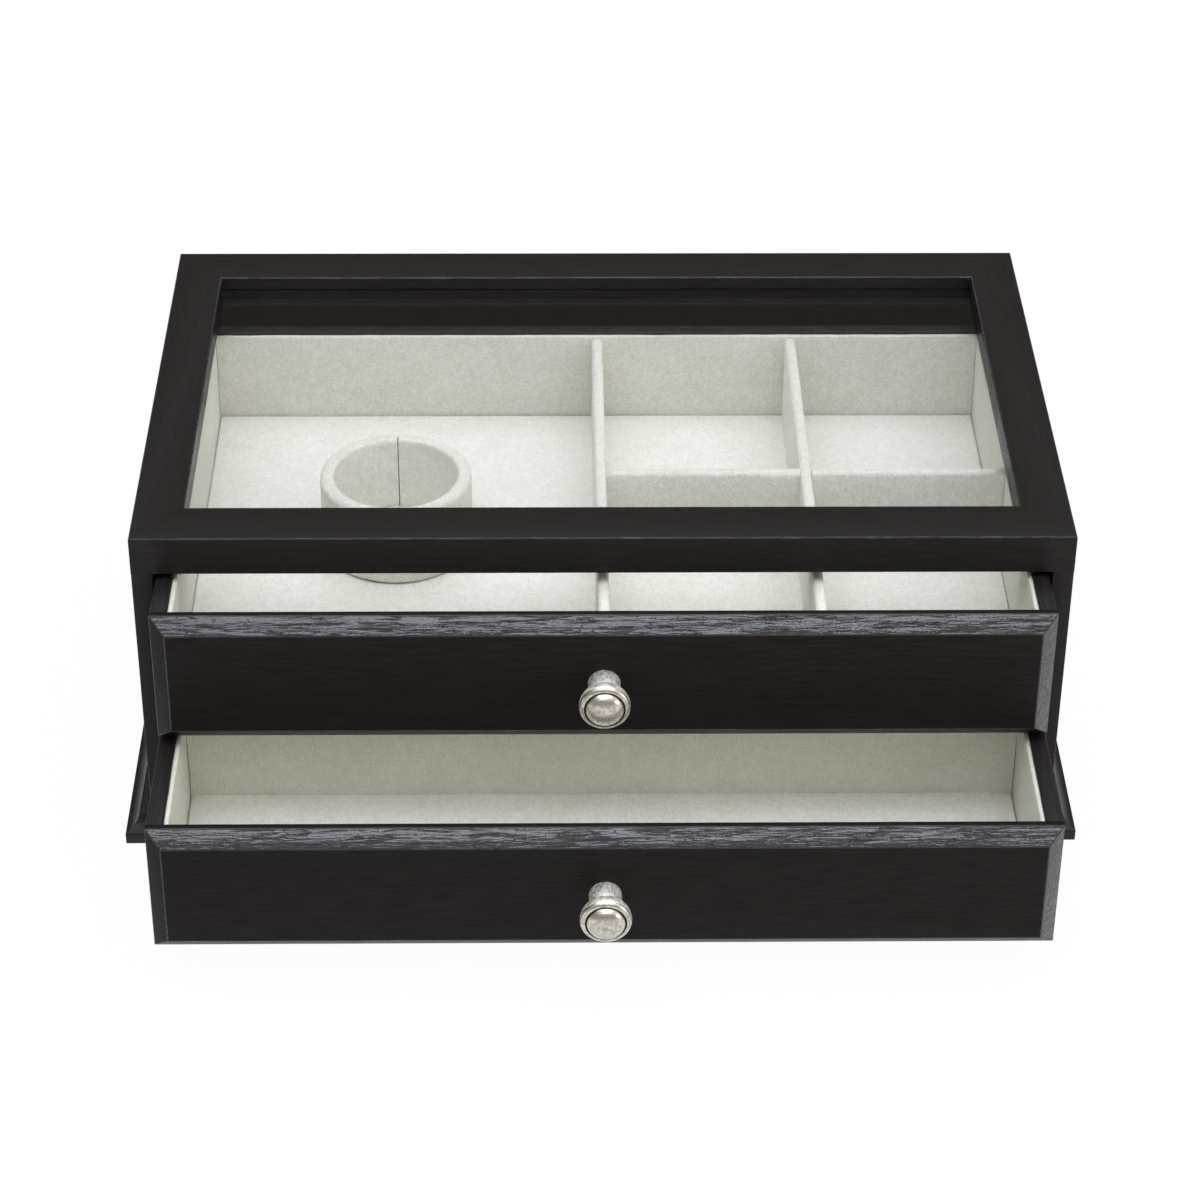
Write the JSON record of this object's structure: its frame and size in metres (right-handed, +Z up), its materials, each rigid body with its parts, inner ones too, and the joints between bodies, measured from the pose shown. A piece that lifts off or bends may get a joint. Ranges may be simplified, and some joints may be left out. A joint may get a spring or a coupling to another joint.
{
  "type": "jewellery box with glass top and two drawers",
  "caption": "Rectangular lacquered wood jewellery box with a fixed glass top, a coved plinth, two felt-lined drawers with metal knobs, dividers and a bracelet ring.",
  "frame": {"origin": "middle of the case's footprint, on the underside of the base felt", "axes": "+X to the right seen from the front, -Y the way the drawers open, +Z up"},
  "size_m": [0.3226, 0.2865, 0.121],
  "materials": {
    "lacquered_wood": "near-black satin lacquer over open-grained wood",
    "stained_wood": "dark stained board, matt",
    "beech": "plain, unfinished",
    "pale_felt": "off-white flocked felt",
    "dark_felt": "dark grey felt",
    "clear_glass": "clear float glass",
    "satin_nickel": "satin nickel with a slight antique tone",
    "steel": "plain steel fixings"
  },
  "bodies": {
    "case": {"base_board": "lacquered_wood", "plinth_front": "lacquered_wood", "plinth_rear": "lacquered_wood", "plinth_left": "lacquered_wood", "plinth_right": "lacquered_wood", "base_felt": "dark_felt", "side_panel_left": "lacquered_wood", "side_panel_right": "lacquered_wood", "back_panel": "lacquered_wood", "dust_panel": "stained_wood", "runner_left": "stained_wood", "runner_right": "stained_wood", "stop_pads": "dark_felt", "frame_rail_front": "lacquered_wood", "frame_rail_rear": "lacquered_wood", "frame_rail_left": "lacquered_wood", "frame_rail_right": "lacquered_wood", "glass_pane": "clear_glass", "glass_bead_front": "lacquered_wood", "glass_bead_rear": "lacquered_wood", "glass_bead_left": "lacquered_wood", "glass_bead_right": "lacquered_wood", "bead_pins": "steel", "base_screws": "steel", "back_panel_pins": "steel", "frame_dowels": "beech"},
    "upper_drawer": {"upper_drawer_front": "lacquered_wood", "upper_drawer_side_left": "lacquered_wood", "upper_drawer_side_right": "lacquered_wood", "upper_drawer_back": "lacquered_wood", "upper_drawer_bottom": "stained_wood", "upper_floor_pad": "pale_felt", "upper_lining_front": "pale_felt", "upper_lining_rear": "pale_felt", "upper_lining_left": "pale_felt", "upper_lining_right": "pale_felt", "long_divider": "pale_felt", "short_divider": "pale_felt", "cross_divider": "pale_felt", "bracelet_ring_core": "beech", "bracelet_ring_cover": "pale_felt", "upper_knob": "satin_nickel", "upper_knob_screw": "steel"},
    "lower_drawer": {"lower_drawer_front": "lacquered_wood", "lower_drawer_side_left": "lacquered_wood", "lower_drawer_side_right": "lacquered_wood", "lower_drawer_back": "lacquered_wood", "lower_drawer_bottom": "stained_wood", "lower_floor_pad": "pale_felt", "lower_lining_front": "pale_felt", "lower_lining_rear": "pale_felt", "lower_lining_left": "pale_felt", "lower_lining_right": "pale_felt", "lower_divider": "pale_felt", "lower_knob": "satin_nickel", "lower_knob_screw": "steel"}
  },
  "joints": [
    {"name": "upper_drawer_slide", "type": "slide", "parent": "case", "child": "upper_drawer", "axis": [0, -1, 0], "range_m": [-0.0225, 0.1075]},
    {"name": "lower_drawer_slide", "type": "slide", "parent": "case", "child": "lower_drawer", "axis": [0, -1, 0], "range_m": [-0.07, 0.06]}
  ]
}
